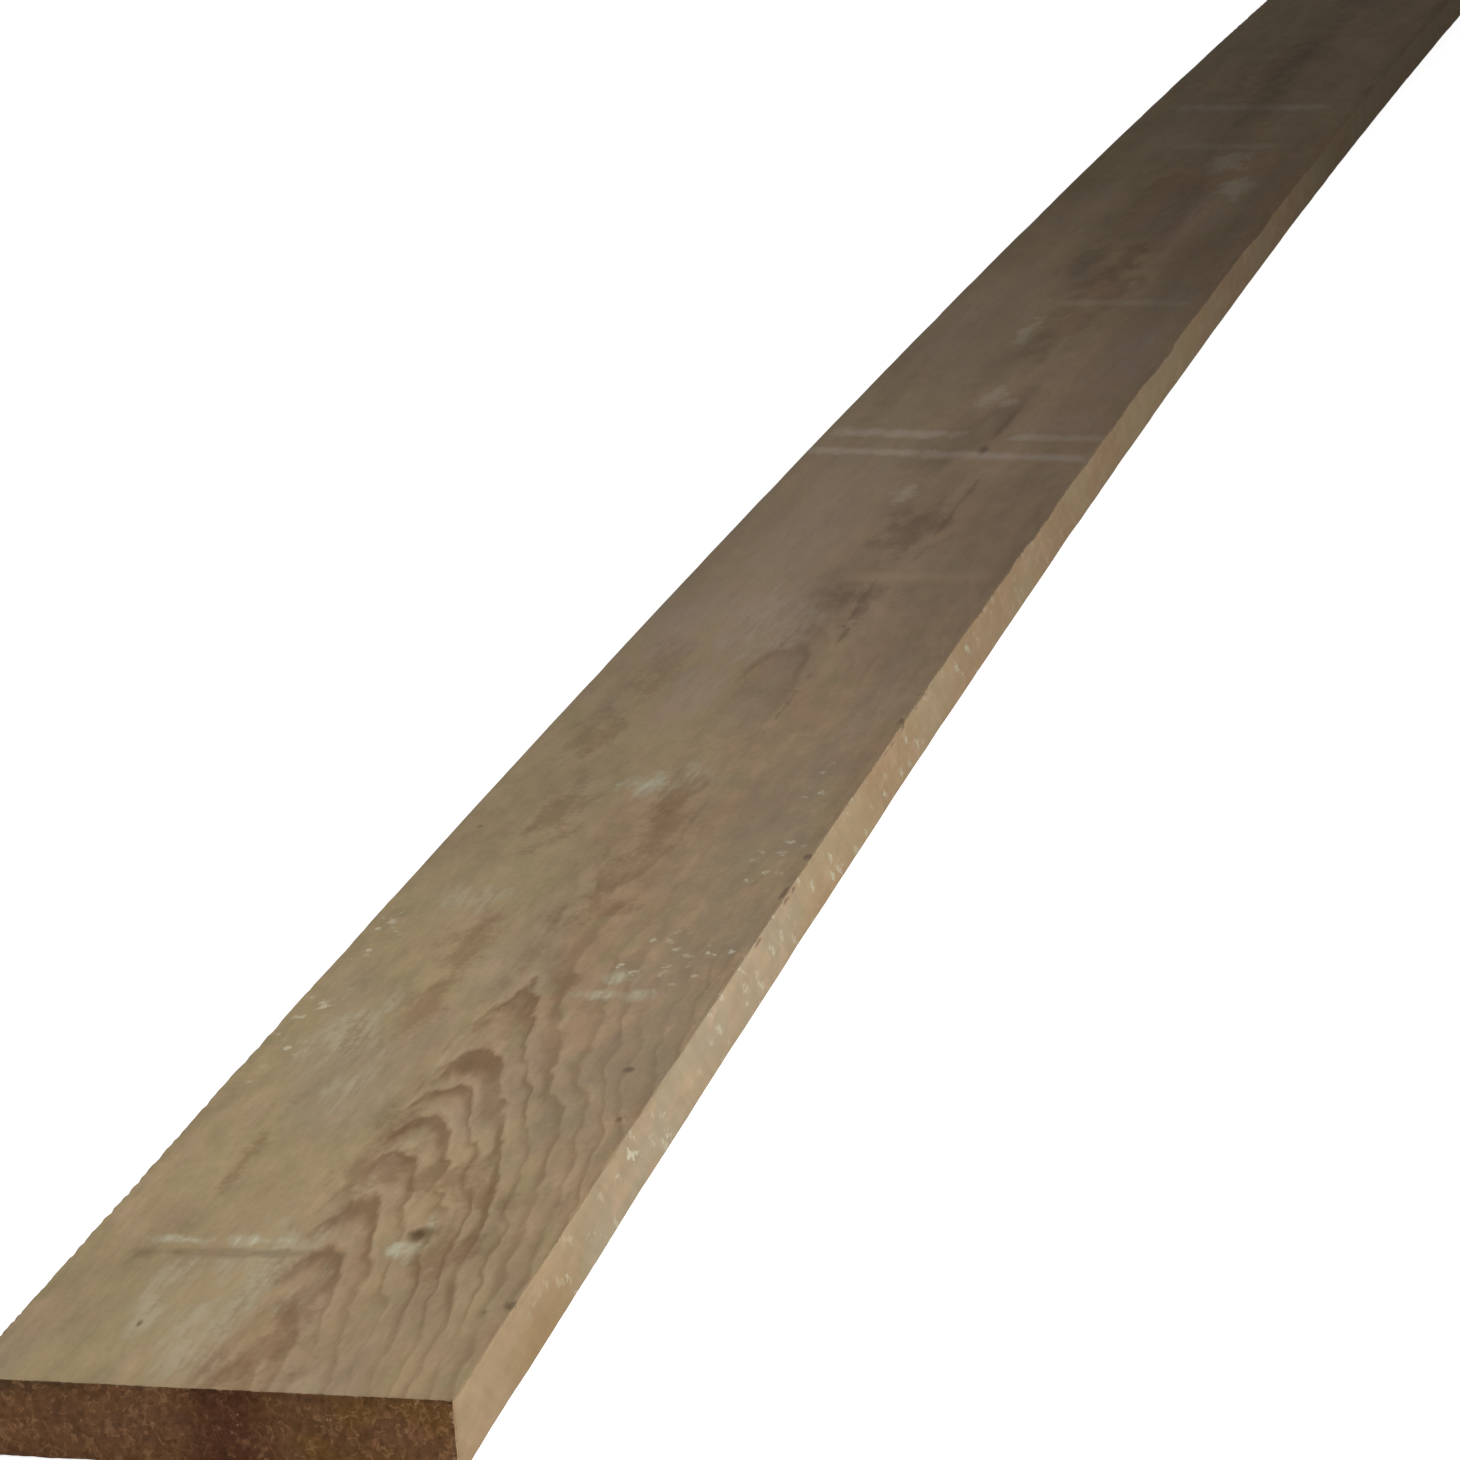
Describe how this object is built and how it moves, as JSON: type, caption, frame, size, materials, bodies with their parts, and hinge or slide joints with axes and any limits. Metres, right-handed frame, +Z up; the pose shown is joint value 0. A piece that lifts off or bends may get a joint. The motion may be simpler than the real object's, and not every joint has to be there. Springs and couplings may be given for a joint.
{
  "type": "sawn timber plank",
  "caption": "Long rough-sawn softwood plank of rectangular section with slight edgewise spring, raw stock for decking, shelving, walkways and carpentry.",
  "frame": {"origin": "under the middle of the plank's bounding box, on the surface that it lies on", "axes": "+Y along the length, from the near sawn end to the far one; +Z up, square to the wide faces; +X across the width, towards the concave edge"},
  "size_m": [0.2547, 4.2058, 0.038],
  "materials": {
    "sawn_softwood": "rough sawn, weathered, preservative treated"
  },
  "bodies": {
    "root": {"plank": "sawn_softwood"}
  },
  "joints": []
}
